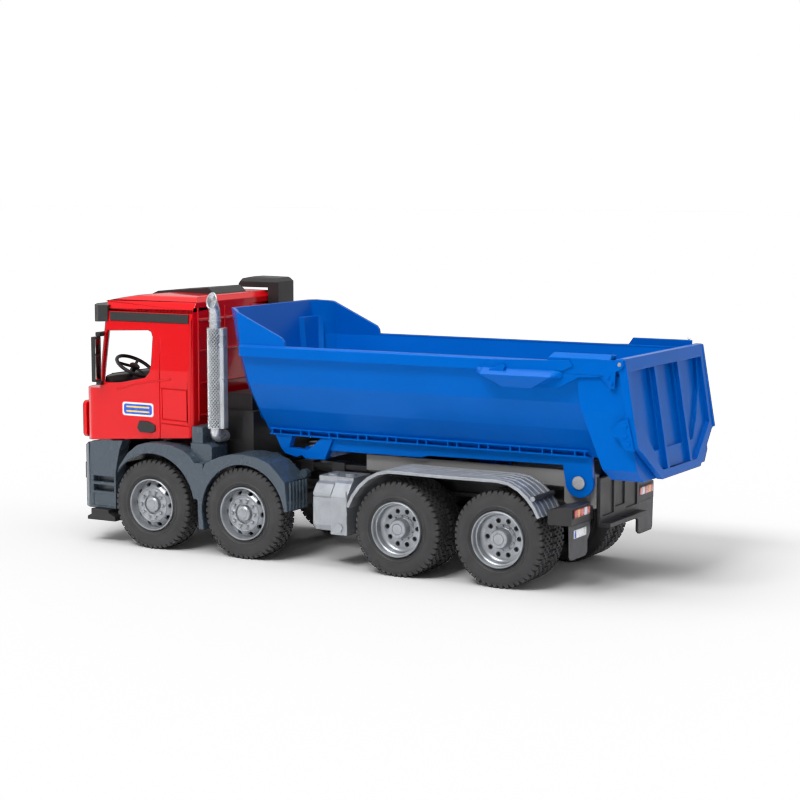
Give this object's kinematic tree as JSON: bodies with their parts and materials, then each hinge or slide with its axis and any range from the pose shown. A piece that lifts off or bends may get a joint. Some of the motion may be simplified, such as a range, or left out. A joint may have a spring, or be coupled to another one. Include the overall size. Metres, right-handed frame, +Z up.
{
  "type": "toy dump truck",
  "caption": "Four-axle toy dump truck with a tipping half-pipe body, swinging tailgate, tilting cab and rolling wheels.",
  "frame": {"origin": "centre of the bounding box on the ground plane", "axes": "+X is the direction of travel (cab end), +Y the left side, +Z up"},
  "size_m": [0.524, 0.1732, 0.2232],
  "materials": {
    "cab_red": "gloss",
    "body_blue": "satin",
    "slate_plastic": "satin",
    "black_plastic": "satin",
    "grey_plastic": "satin",
    "silver_plastic": "satin metallic",
    "steel": "brushed",
    "tyre_rubber": "matte",
    "flap_rubber": "matte",
    "red_plastic": "gloss",
    "lamp_red": "clear gloss"
  },
  "bodies": {
    "chassis": {"subframe": "grey_plastic", "chassis_pins": "steel", "frame_rails": "black_plastic", "cross_members": "black_plastic", "frame_deck": "black_plastic", "end_plate": "black_plastic", "lamp_brackets": "black_plastic", "tail_lamps": "lamp_red", "mud_flaps": "flap_rubber", "engine_housing": "black_plastic", "exhaust": "silver_plastic", "bumper": "slate_plastic", "front_steps": "black_plastic", "front_mudguard_left": "slate_plastic", "front_mudguard_right": "slate_plastic", "rear_mudguard_left": "silver_plastic", "rear_mudguard_right": "silver_plastic", "tanks_left": "silver_plastic", "tanks_right": "silver_plastic", "axle_beams": "black_plastic", "axle_shafts": "steel"},
    "cab": {"cab_shell": "cab_red", "roof_hatch": "black_plastic", "cab_stripes": "black_plastic", "sun_visor": "black_plastic", "door_handles": "black_plastic", "air_intake": "black_plastic", "dashboard": "black_plastic", "seats": "black_plastic", "mirror_arms": "black_plastic", "flap_pin": "steel"},
    "steering": {"steering_wheel": "black_plastic"},
    "flap": {"grille_flap": "red_plastic"},
    "mirror_l": {"mirror_left": "black_plastic"},
    "mirror_r": {"mirror_right": "black_plastic"},
    "dump_body": {"dump_tub": "body_blue", "ledges": "body_blue", "dump_pins": "steel"},
    "tailgate": {"tailgate_panel": "body_blue", "tailgate_hooks": "body_blue"},
    "prop": {"prop_arm": "black_plastic", "prop_foot_pin": "steel"},
    "wheel_1_left": {"rim_1_left": "silver_plastic", "tyre_1_left": "tyre_rubber"},
    "wheel_1_right": {"rim_1_right": "silver_plastic", "tyre_1_right": "tyre_rubber"},
    "wheel_2_left": {"rim_2_left": "silver_plastic", "tyre_2_left": "tyre_rubber"},
    "wheel_2_right": {"rim_2_right": "silver_plastic", "tyre_2_right": "tyre_rubber"},
    "wheel_3_left": {"rim_3_left": "silver_plastic", "tyre_3_left": "tyre_rubber"},
    "wheel_3_right": {"rim_3_right": "silver_plastic", "tyre_3_right": "tyre_rubber"},
    "wheel_4_left": {"rim_4_left": "silver_plastic", "tyre_4_left": "tyre_rubber"},
    "wheel_4_right": {"rim_4_right": "silver_plastic", "tyre_4_right": "tyre_rubber"}
  },
  "joints": [
    {"name": "body_tip", "type": "hinge", "parent": "chassis", "child": "dump_body", "pos_m": [-0.1965, 0, 0.08], "axis": [0, -1, 0], "range_deg": [0, 50]},
    {"name": "prop_swing", "type": "hinge", "parent": "dump_body", "child": "prop", "pos_m": [-0.1045, 0, 0.08], "axis": [0, 1, 0], "range_deg": [0, 100]},
    {"name": "tailgate_swing", "type": "hinge", "parent": "dump_body", "child": "tailgate", "pos_m": [-0.2435, 0, 0.175], "axis": [0, 1, 0], "range_deg": [0, 60]},
    {"name": "cab_tilt", "type": "hinge", "parent": "chassis", "child": "cab", "pos_m": [0.254, 0, 0.08], "axis": [0, 1, 0], "range_deg": [0, 50]},
    {"name": "grille_open", "type": "hinge", "parent": "cab", "child": "flap", "pos_m": [0.26, 0, 0.1216], "axis": [0, -1, 0], "range_deg": [0, 75]},
    {"name": "steering_spin", "type": "hinge", "parent": "cab", "child": "steering", "pos_m": [0.231, 0.03, 0.1475], "axis": [-0.5, 0, 0.866], "continuous": true},
    {"name": "mirror_left_fold", "type": "hinge", "parent": "cab", "child": "mirror_l", "pos_m": [0.2365, 0.0729, 0.157], "axis": [0, 0, 1], "range_deg": [-20, 40]},
    {"name": "mirror_right_fold", "type": "hinge", "parent": "cab", "child": "mirror_r", "pos_m": [0.2365, -0.0729, 0.157], "axis": [0, 0, -1], "range_deg": [-20, 40]},
    {"name": "wheel_1_left_spin", "type": "hinge", "parent": "chassis", "child": "wheel_1_left", "pos_m": [0.1786, 0.07, 0.0375], "axis": [0, 1, 0], "continuous": true},
    {"name": "wheel_1_right_spin", "type": "hinge", "parent": "chassis", "child": "wheel_1_right", "pos_m": [0.1786, -0.07, 0.0375], "axis": [0, 1, 0], "continuous": true},
    {"name": "wheel_2_left_spin", "type": "hinge", "parent": "chassis", "child": "wheel_2_left", "pos_m": [0.0869, 0.07, 0.0375], "axis": [0, 1, 0], "continuous": true},
    {"name": "wheel_2_right_spin", "type": "hinge", "parent": "chassis", "child": "wheel_2_right", "pos_m": [0.0869, -0.07, 0.0375], "axis": [0, 1, 0], "continuous": true},
    {"name": "wheel_3_left_spin", "type": "hinge", "parent": "chassis", "child": "wheel_3_left", "pos_m": [-0.058, 0.07, 0.0375], "axis": [0, 1, 0], "continuous": true},
    {"name": "wheel_3_right_spin", "type": "hinge", "parent": "chassis", "child": "wheel_3_right", "pos_m": [-0.058, -0.07, 0.0375], "axis": [0, 1, 0], "continuous": true},
    {"name": "wheel_4_left_spin", "type": "hinge", "parent": "chassis", "child": "wheel_4_left", "pos_m": [-0.1462, 0.07, 0.0375], "axis": [0, 1, 0], "continuous": true},
    {"name": "wheel_4_right_spin", "type": "hinge", "parent": "chassis", "child": "wheel_4_right", "pos_m": [-0.1462, -0.07, 0.0375], "axis": [0, 1, 0], "continuous": true}
  ],
  "couplings": [
    {"joint": "prop_swing", "follows": "body_tip", "ratio": 2}
  ]
}
